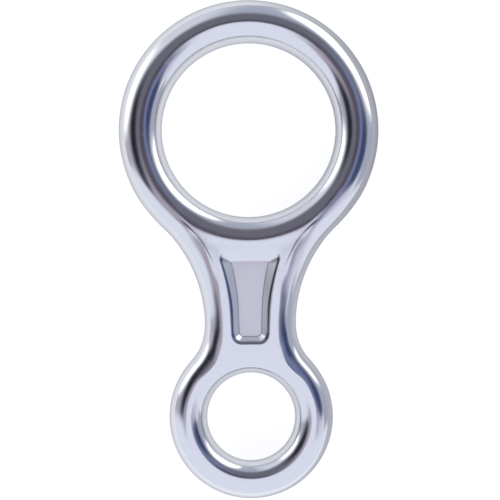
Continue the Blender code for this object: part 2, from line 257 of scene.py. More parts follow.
def face_height(x, y):
    """Half the thickness of the shank's face, which falls from the large ring to the small one."""
    out = math.hypot(x, y - large_y) - large_crest
    left = 1 - min(1.0, max(0.0, out / (crown_y - saddle_y)))
    left = left + EARLY_FALL * (left**2 - left)
    high, low = LARGE_THICKNESS / 2, SMALL_THICKNESS / 2 + SADDLE_LIFT
    return low + (high - low) * left


print("thickness at the waist", round(2 * face_height(0, waist_y) / MM, 2), "mm")

# %% [markdown]
# ## The sunk panel's outline
# The die leaves a sunk panel in each face, which saves metal where the shank is widest. Its
# sides are hollow like the shank's own, and its walls lean in towards the floor so that the die
# lets go.
# The outline comes before the shank, because the cage's lines run round it as a frame.

# %% Half width of the panel
PANEL_TOP_DROP = 32.2 * MM
PANEL_FOOT_DROP = 58.0 * MM
PANEL_FOOT_WIDTH = 10.6 * MM
PANEL_SIDE_SLANT = 0.053
PANEL_SIDE_RADIUS = 59.5 * MM
PANEL_BEND_DROP = 49.2 * MM
PANEL_SIDE_WALLS = (3.15 * MM, 2.56 * MM)
PANEL_MARGIN = 0.7 * MM
PANEL_FIRST_ROW = 1
PANEL_LAST_ROW = 9

panel_top_y = large_y - PANEL_TOP_DROP
panel_foot_y = large_y - PANEL_FOOT_DROP
panel_bend_y = large_y - PANEL_BEND_DROP


def panel_half_width(y, share=0.0):
    """Half the panel's width at a height, at a share of the wall: 0 at the rim, 1 at the floor."""
    rise = min(max(y - panel_bend_y, 0.0), PANEL_SIDE_RADIUS / 2)
    rim = (PANEL_FOOT_WIDTH / 2 + PANEL_SIDE_SLANT * (y - panel_foot_y)
           + PANEL_SIDE_RADIUS - math.sqrt(PANEL_SIDE_RADIUS**2 - rise**2))
    up = (y - panel_foot_y) / (panel_top_y - panel_foot_y)
    high, low = PANEL_SIDE_WALLS
    return rim - share * (low + (high - low) * up)


print("panel width:", [round(2 * panel_half_width(y) / MM, 1) for y in (panel_top_y, panel_foot_y)], "mm")

# %% [markdown]
# ## Where the cage's points go
# Across the shank a row has its panel frame in the middle, lines between the frame and the
# edge, and then the edge roll down to the side. The lines between are shared out along the
# surface, so that the faces stay about equally large where the shank widens into a ring.
# Even faces are what keeps a subdivision surface free of waves.

# %% Lines of the cage along the shank
EDGE_ROLL = 5.4 * MM
RING_SHARES = (0.27, 0.55, 0.70, 0.85)
SHANK_SHARES = (0.20, 0.40, 0.60, 0.80)
LEAST_FACE = 0.95
LEAST_LENGTH = 0.001 * MM


def middle_y(row):
    """Where a row crosses the centre line."""
    top = panel_top_y + PANEL_MARGIN
    foot = panel_foot_y - PANEL_MARGIN
    if row < PANEL_FIRST_ROW:
        return crown_y + (top - crown_y) * row / PANEL_FIRST_ROW
    if row <= PANEL_LAST_ROW:
        share = (row - PANEL_FIRST_ROW) / (PANEL_LAST_ROW - PANEL_FIRST_ROW)
        return top + (foot - top) * share
    share = (row - PANEL_LAST_ROW) / (last_row - PANEL_LAST_ROW)
    return foot + (saddle_y - foot) * share


def frame_x(row):
    """Sideways place of the cage line that frames the panel, which spreads at the rings."""
    crown = large_crest * math.sin(large_corner / 2)
    saddle = small_crest * math.sin(small_corner / 2)
    beside = min(max(row, PANEL_FIRST_ROW), PANEL_LAST_ROW)
    rim = panel_half_width(middle_y(beside)) + PANEL_MARGIN
    if row < PANEL_FIRST_ROW:
        return crown + (rim - crown) * row / PANEL_FIRST_ROW
    if row > PANEL_LAST_ROW:
        return rim + (saddle - rim) * (row - PANEL_LAST_ROW) / (last_row - PANEL_LAST_ROW)
    return rim


def roll_width(row, room):
    """Width of the rolled edge at a row, limited by the metal beside the panel."""
    upper = min(1.0, row / PANEL_FIRST_ROW)
    lower = max(0.0, (row - UPPER_ROWS) / LOWER_ROWS)
    roll = LARGE_RING_WIDTH / 2 + (EDGE_ROLL - LARGE_RING_WIDTH / 2) * upper
    roll += (SMALL_RING_WIDTH / 2 - EDGE_ROLL) * lower
    return min(roll, LEAST_FACE * room)


def line_share(line, row):
    """Place of a cage line, from 0 at the panel's frame to 1 at the outermost line."""
    if line in (0, len(RING_SHARES) + 1):
        return min(line, 1)
    even = min(row, last_row - row, PANEL_FIRST_ROW) / PANEL_FIRST_ROW
    ring, shank = RING_SHARES[line - 1], SHANK_SHARES[line - 1]
    return ring + (shank - ring) * even


print("frame lines at x", [round(frame_x(row) / MM, 1) for row in range(last_row + 1)], "mm")

# %% [markdown]
# The section of the edge roll is a quarter of an oval. Sharing out points along it needs the
# length of that quarter. An oval's length has no exact formula, but a well-known short one is
# right to far better than a hair here.

# %% Place of a cage point
ROW_BEND = 3


def quarter_length(a, b):
    """Length of a quarter of an ellipse, very nearly."""
    return math.pi * (3 * (a + b) - math.sqrt((3 * a + b) * (a + 3 * b))) / 4


def row_y(row, x, inner):
    """A row runs straight over the panel and bends up to where the edge roll starts."""
    middle = middle_y(row)
    return middle + (inner.y - middle) * (x / inner.x) ** ROW_BEND


def outer_point(line, row):
    """Point between the panel's frame (line 0) and the outermost line, on the front face."""
    edge, out = edge_point(row)
    frame_line = frame_x(row)
    roll = roll_width(row, edge.x - frame_line)
    inner = edge - out * roll
    start = Vector((frame_line, row_y(row, frame_line, inner)))
    height = face_height(inner.x, inner.y)
    face_run = (inner - start).length
    roll_run = quarter_length(roll, height)
    along = line_share(line, row) * (face_run + roll_run)
    if along <= face_run:
        place = start.lerp(inner, along / max(face_run, LEAST_LENGTH))
        place.y = row_y(row, place.x, inner)
        return Vector((place.x, place.y, face_height(place.x, place.y)))
    turn = math.pi / 2 * (along - face_run) / roll_run
    place = inner + out * (roll * math.sin(turn))
    return Vector((place.x, place.y, height * math.cos(turn)))


def shank_point(column, step, row):
    """Designed place of a cage point. Step 0 is the front face and 2 * ROLL_STEPS the back."""
    side = -1 if column < 0 else 1
    front = 1 if step <= ROLL_STEPS else -1
    round_step = min(step, 2 * ROLL_STEPS - step)
    line = abs(column) - half_panel + round_step
    if abs(column) >= half_panel:
        point = outer_point(line, row)
        return Vector((side * point.x, point.y, front * point.z))
    edge, out = edge_point(row)
    inner = edge - out * roll_width(row, edge.x - frame_x(row))
    x = frame_x(row) * abs(column) / half_panel
    y = row_y(row, x, inner)
    return Vector((side * x, y, front * face_height(x, y)))


waist_side = shank_point(half_columns, ROLL_STEPS, UPPER_ROWS)
print("waist's side at x", round(waist_side.x / MM, 2), "mm")

# %% [markdown]
# ## Drawing out the shank
# The rim of the large ring's gap is extruded row by row, as a smith draws a bar. Each point of
# the rim has a label, its column across the shank and its step round the edge, and a new point
# takes its parent's label. `shank_point` then says where it goes. At the end the bridge
# operator joins the last row to the small ring.

# %% Label the gap's rim and draw the rows
def label_rim(rim, centre_y, columns, facing):
    """Names each point of a gap's rim by its column and its step round the section."""
    labels = {}
    back = 2 * ROLL_STEPS
    for vert in {vert for edge in rim for vert in edge.verts}:
        away = vert.co - Vector((0, centre_y, 0))
        turn = math.atan2(away.x, facing * away.y)
        column = round(turn * columns / (2 * math.pi))
        if abs(column) < half_columns:
            labels[vert] = (column, 0 if vert.co.z > 0 else back)
    for side in (-half_columns, half_columns):
        ends = {vert for edge in rim for vert in edge.verts if vert not in labels}
        ends = [vert for vert in ends if vert.co.x * side > 0]
        for step, vert in enumerate(sorted(ends, key=lambda vert: -vert.co.z)):
            labels[vert] = (side, step)
    return labels


def extrude_rim(bm, rim, known):
    """Draws a rim of edges out by one row. Each new point keeps what is known of its parent."""
    made = bmesh.ops.extrude_edge_only(bm, edges=rim)["geom"]
    rim = [item for item in made if isinstance(item, bmesh.types.BMEdge)]
    faces = [item for item in made if isinstance(item, bmesh.types.BMFace)]
    grown = {}
    for item in made:
        if isinstance(item, bmesh.types.BMVert):
            near = (edge.other_vert(item) for edge in item.link_edges)
            grown[item] = next(known[vert] for vert in near if vert in known)
    return rim, faces, grown


labels = label_rim(large_rim, large_y, LARGE_COLUMNS, -1)
rim = large_rim
panel_faces = []
for row in range(1, last_row):
    rim, faces, labels = extrude_rim(cage, rim, labels)
    for vert, (column, step) in labels.items():
        vert.co = shank_point(column, step, row)
    if not PANEL_FIRST_ROW < row <= PANEL_LAST_ROW:
        continue
    for face in faces:
        columns = [labels[vert][0] for vert in face.verts if vert in labels]
        if max(abs(column) for column in columns) <= half_panel:
            panel_faces.append(face)
bmesh.ops.bridge_loops(cage, edges=rim + small_rim)
for face in panel_faces:
    face.material_index = 1
print("cage:", len(cage.faces), "faces,", len(panel_faces), "over the panels")

# %% [markdown]
# ## Settling the cage
# A subdivision surface pulls in from its cage, so a ring of 12 mm stock would come out thinner.
# The usual cure is to scale things up by eye. Here each point is moved out by as much as the
# rounded surface misses its designed place, several times over, until the surface passes
# through all of them and the sizes are the real ones.
# Where the surface passes is known without rounding anything. With n edges at a point, it is
# the mean of n * n times the point, four times each neighbour and once each face's far corner.

# %% Move the points until the surface meets the sizes
SETTLING_ROUNDS = 8


def settle_cage(bm):
    """Moves the cage's points out until the rounded surface passes through where they stand now."""
    bm.verts.index_update()
    wanted = np.array([vert.co for vert in bm.verts])
    near, far = [], []
    for vert in bm.verts:
        near += [(vert.index, edge.other_vert(vert).index) for edge in vert.link_edges]
        for loop in vert.link_loops:
            far.append((vert.index, loop.link_loop_next.link_loop_next.vert.index))
    near, far = np.array(near), np.array(far)
    valence = np.bincount(near[:, 0], minlength=len(bm.verts))[:, None]
    points = wanted.copy()
    for _ in range(SETTLING_ROUNDS):
        total = valence**2 * points
        np.add.at(total, near[:, 0], 4 * points[near[:, 1]])
        np.add.at(total, far[:, 0], points[far[:, 1]])
        points += wanted - total / (valence * (valence + 5))
    for vert, place in zip(bm.verts, points):
        vert.co = place
    return np.linalg.norm(points - wanted, axis=1).max()


moved = settle_cage(cage)
bmesh.ops.recalc_face_normals(cage, faces=cage.faces)
print("points moved out by up to", round(moved / MM, 2), "mm")

# %% [markdown]
# ## Rounding
# The subdivision surface is applied now, because the panel is cut into the finished skin. Three
# levels make faces well under a millimetre, so that polished metal shows no facets.

# %% Round the cage
SUBDIVISIONS = 3


def rounded_skin(bm):
    """The cage rounded by a subdivision surface, as a new bmesh."""
    mesh = bpy.data.meshes.new("cage")
    bm.to_mesh(mesh)
    helper = bpy.data.objects.new("cage", mesh)
    bpy.context.scene.collection.objects.link(helper)
    rounding = helper.modifiers.new("rounding", "SUBSURF")
    rounding.levels = SUBDIVISIONS
    rounding.render_levels = SUBDIVISIONS
    skin = bmesh.new()
    skin.from_object(helper, bpy.context.evaluated_depsgraph_get())
    bpy.data.objects.remove(helper)
    bpy.data.meshes.remove(mesh)
    return skin


skin = rounded_skin(cage)
cage.free()
print("skin:", len(skin.faces), "faces")

# %% [markdown]
# ## The panel's rim and floor
# Both outlines are drawn the same way: half of a rounded frame from its sides and two corner
# arcs, then mirrored. The points are shared out so that more of them stand where the line
# turns. A share of 0 gives the rim and 1 the foot of the wall, which lies further in and has
# tighter corners.

# %% Draw the panel's outlines
PANEL_CORNERS = (2.4 * MM, 0.4 * MM)
PANEL_FOOT_CORNERS = (3.1 * MM, 0.9 * MM)
PANEL_TOP_WALL = 3.3 * MM
PANEL_FOOT_WALL = 2.45 * MM
CORNER_STEPS = 24
SIDE_STEPS = 48


def corner_arc(corner, radius, start):
    """A quarter turn round a corner, clockwise from a start angle."""
    turns = [start - math.pi / 2 * i / CORNER_STEPS for i in range(CORNER_STEPS + 1)]
    return [corner + Vector((math.cos(t), math.sin(t))) * radius for t in turns]


def panel_right_half(share):
    """Right half of the panel's outline at a share of the wall, from the top to the foot."""
    top = panel_top_y - share * PANEL_TOP_WALL
    foot = panel_foot_y + share * PANEL_FOOT_WALL
    upper = PANEL_CORNERS[0] + share * (PANEL_CORNERS[1] - PANEL_CORNERS[0])
    lower = PANEL_FOOT_CORNERS[0] + share * (PANEL_FOOT_CORNERS[1] - PANEL_FOOT_CORNERS[0])
    upper_hub = Vector((panel_half_width(top - upper, share) - upper, top - upper))
    lower_hub = Vector((panel_half_width(foot + lower, share) - lower, foot + lower))
    points = [Vector((0, top))]
    points += corner_arc(upper_hub, upper, math.pi / 2)
    for i in range(1, SIDE_STEPS):
        y = upper_hub.y + (lower_hub.y - upper_hub.y) * i / SIDE_STEPS
        points.append(Vector((panel_half_width(y, share), y)))
    points += corner_arc(lower_hub, lower, 0.0)
    points.append(Vector((0, foot)))
    return points


def spread(points, count):
    """count + 1 points along a polyline, closer together where it turns."""
    steps = [(b - a).length for a, b in zip(points, points[1:])]
    turns = [0.0]
    for a, b, c in zip(points, points[1:], points[2:]):
        turns.append(abs((b - a).angle(c - b, 0.0)))
    weights = [step + PANEL_CORNERS[0] * turn for step, turn in zip(steps, turns)]
    marks = np.concatenate([[0], np.cumsum(weights)])
    wanted = np.linspace(0, marks[-1], count + 1)
    xs = np.interp(wanted, marks, [p.x for p in points])
    ys = np.interp(wanted, marks, [p.y for p in points])
    return [Vector(pair) for pair in zip(xs, ys)]


def mirrored(points):
    """The points on the other side of the centre line, in reverse order."""
    return [Vector((-p.x, p.y)) for p in reversed(points)]


def panel_outline(share):
    """Closed outline, clockwise from the middle of the top right corner."""
    top_count = 2 * half_panel * 2**SUBDIVISIONS
    side_count = (PANEL_LAST_ROW - PANEL_FIRST_ROW) * 2**SUBDIVISIONS
    half = panel_right_half(share)
    upper = 1 + CORNER_STEPS // 2
    lower = len(half) - 1 - upper
    right = spread(half[upper : lower + 1], side_count)
    foot = spread(half[lower:] + mirrored(half[lower:])[1:], top_count)
    top = spread(mirrored(half[: upper + 1]) + half[1 : upper + 1], top_count)
    return right[:-1] + foot[:-1] + mirrored(right)[:-1] + top[:-1]


brink = panel_outline(0.0)
foot_line = panel_outline(1.0)
print("panel outline:", len(brink), "points")

# %% [markdown]
# ## The panel's wall
# Down the wall there are three parts: a generous rounding over the rim, which polishing wheels
# leave, a straight slope, and a tight fillet at the floor, which they don't reach. The slope's
# angle follows from the wall's run and depth and from the two radii. The stations are closer
# together in the roundings, because there the reflections change fastest.

# %% Profile of the wall
PANEL_DEPTH = 1.2 * MM
PANEL_RIM_RADIUS = 2.4 * MM
PANEL_FILLET = 0.4 * MM
WALL_STATIONS = (0, 0.08, 0.16, 0.24, 0.32, 0.40, 0.48, 0.56, 0.74, 0.90, 0.925, 0.95, 0.975, 1)


def wall_fall(share, run, depth):
    """Fall at a share of a wall's run: round over the rim, down a straight slope, round to the floor."""
    rounds = PANEL_RIM_RADIUS + PANEL_FILLET
    straight = math.sqrt(max(0.0, run**2 + depth**2 - 2 * rounds * depth))
    slope = math.atan2(rounds, straight) - math.atan2(rounds - depth, run)
    reach, left = share * run, (1 - share) * run
    if reach <= PANEL_RIM_RADIUS * math.sin(slope):
        return PANEL_RIM_RADIUS - math.sqrt(PANEL_RIM_RADIUS**2 - reach**2)
    if left <= PANEL_FILLET * math.sin(slope):
        return depth - PANEL_FILLET + math.sqrt(PANEL_FILLET**2 - left**2)
    rolled = PANEL_RIM_RADIUS * (1 - math.cos(slope))
    return rolled + (reach - PANEL_RIM_RADIUS * math.sin(slope)) * math.tan(slope)


side_run = PANEL_SIDE_WALLS[1]
falls = [round(wall_fall(share, side_run, PANEL_DEPTH) / MM, 2) for share in WALL_STATIONS]
print("side wall falls by", falls, "mm")

# %% [markdown]
# ## Sinking the panels
# The skin's faces over the panel are cut out. The rim of the hole is extruded in to the panel's
# rim first, and then down the wall, station by station. A ray from above finds the old face at
# each point, so everything up to the panel's rim lies in the face without a step. The floor is
# one flat face, shaded flat, so that its light stays even right up to the fillet.

# %% Sink a panel into each face
APRON_STEPS = 3


def clockwise(edges):
    """The points round a closed loop of edges, clockwise as seen from the front."""
    order = list(edges[0].verts)
    left = set(edges) - {edges[0]}
    while left:
        step = next(edge for edge in order[-1].link_edges if edge in left)
        left.discard(step)
        order.append(step.other_vert(order[-1]))
    order.pop()
    following = order[1:] + order[:1]
    area = sum(a.co.x * b.co.y - b.co.x * a.co.y for a, b in zip(order, following))
    return order if area < 0 else order[::-1]


def sink_panel(skin, front):
    """Opens a face over the panel, draws the rim down the wall and returns the floor."""
    face_tree = BVHTree.FromBMesh(skin)

    def face_over(place):
        """Height of the face before it was opened, whichever way it looks."""
        above = Vector((place.x, place.y, front * LARGE_THICKNESS))
        return abs(face_tree.ray_cast(above, Vector((0, 0, -front)))[0].z)

    patch = [face for face in skin.faces if face.material_index == 1]
    patch = [face for face in patch if face.calc_center_median().z * front > 0]
    rim = cut_out(skin, patch)
    order = clockwise(rim)
    corner = shank_point(half_panel, 0, PANEL_FIRST_ROW).xy
    first = min(range(len(order)), key=lambda i: (order[i].co.xy - corner).length)
    places = {vert: (i - first) % len(order) for i, vert in enumerate(order)}
    border = {i: vert.co.xy for vert, i in places.items()}
    floor_height = face_height(0, panel_foot_y) - PANEL_DEPTH
    # Before the wall, stations run from -1 at the hole to 0 at the panel's rim.
    apron = [step / APRON_STEPS - 1 for step in range(1, APRON_STEPS)]
    for station in (*apron, *WALL_STATIONS):
        rim, faces, places = extrude_rim(skin, rim, places)
        for face in faces:
            face.material_index = 0
        for vert, i in places.items():
            if station < 0:
                place = brink[i].lerp(border[i], -station)
                fall = 0.0
            else:
                place = brink[i].lerp(foot_line[i], station)
                run = (foot_line[i] - brink[i]).length
                fall = wall_fall(station, run, face_over(foot_line[i]) - floor_height)
            vert.co = (place.x, place.y, front * (face_over(place) - fall))
    return bmesh.ops.edgeloop_fill(skin, edges=rim, mat_nr=1)["faces"]


floors = sink_panel(skin, 1) + sink_panel(skin, -1)
print("panel floors:", [round(face.calc_area() / MM**2, 1) for face in floors], "square mm")

# %% [markdown]
# ## The finished body
# The piece lies on its back on the ground, so the skin is lifted by its lowest point. Its place
# is in the mesh, and the object stays at the origin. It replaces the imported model's coarser
# body and moves with it.

# %% Make the body
BODY_LIFT = Matrix.Translation((0, 0, -min(vert.co.z for vert in skin.verts)))


def make_body(skin, floors):
    """The skin as a finished object that lies on the ground, with flat panel floors."""
    for face in skin.faces:
        face.smooth = True
    for face in floors:
        face.smooth = False
    bmesh.ops.recalc_face_normals(skin, faces=skin.faces)
    bmesh.ops.transform(skin, matrix=BODY_LIFT, verts=skin.verts)
    mesh = bpy.data.meshes.new("body")
    skin.to_mesh(mesh)
    skin.free()
    body = bpy.data.objects.new("body", mesh)
    bpy.context.scene.collection.objects.link(body)
    return body


body = make_body(skin, floors)
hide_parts("forged_body")
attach(body, "root")
print("body:", len(body.data.polygons), "faces,", [round(side / MM, 2) for side in body.dimensions], "mm")

# %% [markdown]
# ## Polished aluminium
# After forging the piece is tumbled and polished. It is bare metal, a mirror that is not quite
# true: the surface swells by one or two hundredths of a millimetre where the wheel dwelt, so that
# the edges of reflections wander. Tumbling leaves a fine grain and a thin haze, which make them
# a little soft, and here and there the forging left a pit.
# A metal's base colour is the tint of its reflections. Aluminium is nearly neutral with a touch
# of blue. Its specular tint is what it mirrors at a slant. Clean metal would be nearly white
# there. It is grey here only because the picture's rims look greyer than that, and why they do
# isn't known. The grey is painted shade, which darkens what the rims mirror. The swell, the
# grain and the pits are bump, because they are far too shallow to show in the outline, and the
# haze is roughness. All of it reads Object coordinates, which lie still on the metal.

# %% Helpers for materials
# Most values of a noise lie between these two.
NOISE_MIDDLE = (0.3, 0.7)


def new_material(name):
    """A material with a Principled shader. Returns it with its nodes, links and shader."""
    material = bpy.data.materials.new(name)
    material.use_nodes = True
    tree = material.node_tree
    return material, tree.nodes, tree.links, tree.nodes["Principled BSDF"]


def add_noise(nodes, links, scale, detail, roughness):
    """Noise on Object coordinates. Its features are about 1 / scale metres across."""
    place = nodes.new("ShaderNodeTexCoord")
    noise = nodes.new("ShaderNodeTexNoise")
    noise.inputs["Scale"].default_value = scale
    noise.inputs["Detail"].default_value = detail
    noise.inputs["Roughness"].default_value = roughness
    links.new(place.outputs["Object"], noise.inputs["Vector"])
    return noise.outputs["Fac"]


def map_range(nodes, links, value, low, high, to_low, to_high):
    """Maps a value to another range and holds it there."""
    node = nodes.new("ShaderNodeMapRange")
    node.inputs["From Min"].default_value = low
    node.inputs["From Max"].default_value = high
    node.inputs["To Min"].default_value = to_low
    node.inputs["To Max"].default_value = to_high
    links.new(value, node.inputs["Value"])
    return node.outputs["Result"]


def add_bump(nodes, links, height, distance, under=None):
    """Bump of a height from 0 to 1 that is distance metres tall, on top of another bump."""
    bump = nodes.new("ShaderNodeBump")
    bump.inputs["Strength"].default_value = 1.0
    bump.inputs["Distance"].default_value = distance
    links.new(height, bump.inputs["Height"])
    if under:
        links.new(under, bump.inputs["Normal"])
    return bump.outputs["Normal"]


def feed(links, socket, value):
    """Sets a socket to a plain value, or links it to another node's output."""
    if isinstance(value, bpy.types.NodeSocket):
        links.new(value, socket)
    else:
        socket.default_value = value


def math_node(nodes, links, operation, first, second=0.0):
    """One sum on one or two numbers."""
    node = nodes.new("ShaderNodeMath")
    node.operation = operation
    feed(links, node.inputs[0], first)
    feed(links, node.inputs[1], second)
    return node.outputs["Value"]


print("helpers ready")

# %% Polished aluminium
ALUMINIUM = (0.83, 0.84, 0.86, 1)
# Painted shade: a grey tint that darkens what the rims mirror.
EDGE_TINT = (0.60, 0.62, 0.66, 1)
SWELL = {"scale": 140, "detail": 1.0, "roughness": 0.4}
SWELL_HEIGHT = 0.016 * MM
GRAIN = {"scale": 2400, "detail": 2.0, "roughness": 0.5}
GRAIN_HEIGHT = 0.002 * MM
PITS = {"scale": 1500, "detail": 0.0, "roughness": 0.5}
PIT_EDGE = (0.80, 0.88)
PIT_DEPTH = 0.012 * MM
HAZE = {"scale": 260, "detail": 3.0, "roughness": 0.6}
HAZE_ROUGHNESS = (0.10, 0.15)

polished, nodes, links, shader = new_material("polished_aluminium")
shader.inputs["Metallic"].default_value = 1.0
shader.inputs["Base Color"].default_value = ALUMINIUM
shader.inputs["Specular Tint"].default_value = EDGE_TINT
surface = add_bump(nodes, links, add_noise(nodes, links, **SWELL), SWELL_HEIGHT)
surface = add_bump(nodes, links, add_noise(nodes, links, **GRAIN), GRAIN_HEIGHT, surface)
pits = map_range(nodes, links, add_noise(nodes, links, **PITS), *PIT_EDGE, 1.0, 0.0)
surface = add_bump(nodes, links, pits, PIT_DEPTH, surface)
links.new(surface, shader.inputs["Normal"])
haze = map_range(nodes, links, add_noise(nodes, links, **HAZE), *NOISE_MIDDLE, *HAZE_ROUGHNESS)
links.new(haze, shader.inputs["Roughness"])
body.data.materials.append(polished)
print("polished:", len(nodes), "nodes")

# %% [markdown]
# ## Blasted floor
# The panel's floor keeps the grey, even look of blasting, because wheels can't reach into it.
# Blasting leaves tiny dents side by side, so the floor spreads its reflections very wide and has
# a grain that is just visible. Its tint is lighter than the polished metal's, because in the
# picture the floor is nearly as light as the face round it.

# %% Blasted floor of the panel
BLASTED_METAL = (0.995, 0.98, 1.0, 1)
DENTS = {"scale": 2600, "detail": 2.0, "roughness": 0.6}
DENT_DEPTH = 0.012 * MM
DULLNESS = {"scale": 500, "detail": 2.0, "roughness": 0.6}
DULL_ROUGHNESS = (0.90, 0.98)

blasted, nodes, links, shader = new_material("blasted_aluminium")
shader.inputs["Metallic"].default_value = 1.0
shader.inputs["Base Color"].default_value = BLASTED_METAL
dents = add_bump(nodes, links, add_noise(nodes, links, **DENTS), DENT_DEPTH)
links.new(dents, shader.inputs["Normal"])
dull = map_range(nodes, links, add_noise(nodes, links, **DULLNESS), *NOISE_MIDDLE, *DULL_ROUGHNESS)
links.new(dull, shader.inputs["Roughness"])
body.data.materials.append(blasted)
print("blasted:", len(nodes), "nodes")

# %% [markdown]
# ## The ground
# The picture shows the piece on plain white. To the camera the ground is white through Light
# Path, and its own grey takes the shadow. The metal mirrors a darker ground than the camera
# sees, much darker to the right and nearly white only in front: the ground's glow in the metal
# is painted light, and its dark part to the right is painted shade. A real ground wouldn't do
# that. It is a choice that makes the steep sides stand out as they do in the picture.

# %% Lay the ground
GROUND_SIZE = 16.0
GROUND_GREY = 0.6
GROUND_FILL = 0.76
# Painted light that the metal mirrors off the ground, dimmer to the right as painted shade.
MIRRORED_LEFT = 0.55
MIRRORED_RIGHT = 0.14
MIRRORED_FRONT = 0.62

# The mirrored light changes over these stretches to the right and to the front.
RIGHTWARD = (0.0, 45 * MM)
FRONTWARD = (-60 * MM, -90 * MM)


def mirrored_fill(nodes, links):
    """Painted light that the ground adds in the metal: less to the right, as painted shade, more in
    front.
    """
    place = nodes.new("ShaderNodeTexCoord").outputs["Object"]
    parts = nodes.new("ShaderNodeSeparateXYZ")
    links.new(place, parts.inputs["Vector"])
    x, y = parts.outputs["X"], parts.outputs["Y"]
    across = map_range(nodes, links, x, *RIGHTWARD, MIRRORED_LEFT, MIRRORED_RIGHT)
    front = map_range(nodes, links, y, *FRONTWARD, 0.0, MIRRORED_FRONT)
    return math_node(nodes, links, "MAXIMUM", across, front)


def ground_material():
    """Matt white ground that still takes the piece's shadow."""
    material, nodes, links, shader = new_material("white_ground")
    shader.inputs["Base Color"].default_value = (GROUND_GREY, GROUND_GREY, GROUND_GREY, 1)
    shader.inputs["Roughness"].default_value = 1.0
    shader.inputs["Specular IOR Level"].default_value = 0.0
    shader.inputs["Emission Color"].default_value = (1, 1, 1, 1)
    path = nodes.new("ShaderNodeLightPath").outputs
    seen = math_node(nodes, links, "MULTIPLY", path["Is Camera Ray"], GROUND_FILL)
    mirrored = mirrored_fill(nodes, links)
    mirrored = math_node(nodes, links, "MULTIPLY", path["Is Glossy Ray"], mirrored)
    fill = math_node(nodes, links, "ADD", seen, mirrored)
    links.new(fill, shader.inputs["Emission Strength"])
    return material


def lay_ground():
    """A flat square under the piece."""
    bm = bmesh.new()
    bmesh.ops.create_grid(bm, x_segments=1, y_segments=1, size=GROUND_SIZE / 2)
    mesh = bpy.data.meshes.new("ground")
    bm.to_mesh(mesh)
    bm.free()
    mesh.materials.append(ground_material())
    ground = bpy.data.objects.new("ground", mesh)
    bpy.context.scene.collection.objects.link(ground)
    ground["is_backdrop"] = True
    return ground


ground = lay_ground()
print("ground:", [round(side, 1) for side in ground.dimensions], "m")

# %% [markdown]
# ## The light tent
# Polished metal has no colour of its own: what shows is the room. Small shiny things are
# photographed in a light tent, a pale dome with lamps behind its cloth. In this one there is a
# dark hood round the lens, which gives the rings their dark bands, a hard white window to the
# right with a grey hem, and a softer one to the left. Lamps could stand for the windows, but the
# hood and the shades need cards, so everything is a card on the dome, and the dome itself is
# the light.
# The places of the cards are degrees on a flat chart of the dome: the middle is overhead, the
# rim is the horizon, +X is right and +Y is up the picture. A ring's section shows just this
# chart, its crest the middle and its sides the rim, so the cards can be placed on it one by one.

# %% Describe the cards
TENT_RADIUS = 0.38
TENT_SUBDIVISIONS = 4
TENT_CLOTH = (0.82, 0.86, 0.97)

# Name: outline, middle, half sizes, turn, softness of the edge, colour. Later cards lie in front.
CARDS = {
    "far_wall": ("box", (0, 75), (120, 26), 0, 18, (0.70, 0.72, 0.80)),
    "far_middle": ("oval", (7, 58), (19, 34), 0, 22, (0.42, 0.45, 0.55)),
    "far_edge": ("box", (2, 98), (40, 10), 0, 8, (0.25, 0.26, 0.30)),
    "left_wall": ("box", (-90, 1), (46, 17), 0, 16, (0.46, 0.46, 0.53)),
    "right_wall": ("box", (90, -3), (50, 22), 0, 16, (0.41, 0.44, 0.54)),
    "left_window": ("oval", (-92, 46), (42, 34), -16, 18, (1.6, 1.6, 1.63)),
    "right_window": ("oval", (70, 61), (50, 37), -23, 10, (1.8, 1.8, 1.8)),
    "right_hem": ("box", (80, 46), (50, 11), -60, 7, (0.42, 0.44, 0.50)),
    "hood": ("oval", (-4, 5), (55, 42), 0, 20, (0.155, 0.155, 0.19)),
    "near_wall": ("box", (0, -45), (130, 32), 0, 8, (0.80, 0.83, 0.96)),
    "wall_foot": ("box", (84, -17), (24, 9), 0, 10, (0.40, 0.43, 0.52)),
    "warm_shade": ("oval", (-20, -7), (15, 6), 45, 8, (0.42, 0.37, 0.44)),
    "left_flap": ("oval", (-38, 7), (13, 18), -6, 14, (0.022, 0.021, 0.034)),
    "blue_shade": ("oval", (23, 7), (11, 18), 10, 11, (0.19, 0.23, 0.41)),
    "right_flap": ("oval", (40, 0), (14, 16), 0, 15, (0.05, 0.065, 0.15)),
    "lens": ("oval", (4, 6), (14, 7), 22, 9, (0.085, 0.07, 0.105)),
    "lilac_shade": ("oval", (25, -16), (11, 4), -28, 7, (0.46, 0.43, 0.62)),
    "rose_shade": ("oval", (41, -20), (13, 5), -22, 8, (0.69, 0.65, 0.78)),
    "near_middle": ("oval", (1, -20), (16, 21), 0, 6, (0.80, 0.82, 0.96)),
}
print("tent:", len(CARDS), "cards")

# %% [markdown]
# A point of the dome is brought to the chart first: its angle from overhead, laid off from the
# middle in its own direction. Then each card moves, turns and scales the chart so that its
# outline becomes a circle or a square of size 1. A smooth step across that outline makes the
# soft edge, and the card's colour is mixed over what lies behind it.

# %% Put the cards on the tent
def vector_node(nodes, links, operation, first, second=(0, 0, 0)):
    """One sum on vectors."""
    node = nodes.new("ShaderNodeVectorMath")
    node.operation = operation
    feed(links, node.inputs[0], first)
    feed(links, node.inputs[1], second)
    return node


def add_chart(nodes, links):
    """Place on the flat chart of the dome, in degrees."""
    place = nodes.new("ShaderNodeTexCoord").outputs["Object"]
    direction = vector_node(nodes, links, "NORMALIZE", place).outputs["Vector"]
    parts = nodes.new("ShaderNodeSeparateXYZ")
    links.new(direction, parts.inputs["Vector"])
    angle = math_node(nodes, links, "ARCCOSINE", parts.outputs["Z"])
    degrees = math_node(nodes, links, "MULTIPLY", angle, math.degrees(1))
    level = vector_node(nodes, links, "MULTIPLY", direction, (1, 1, 0)).outputs["Vector"]
    outward = vector_node(nodes, links, "NORMALIZE", level).outputs["Vector"]
    chart = vector_node(nodes, links, "SCALE", outward)
    links.new(degrees, chart.inputs["Scale"])
    return chart.outputs["Vector"]


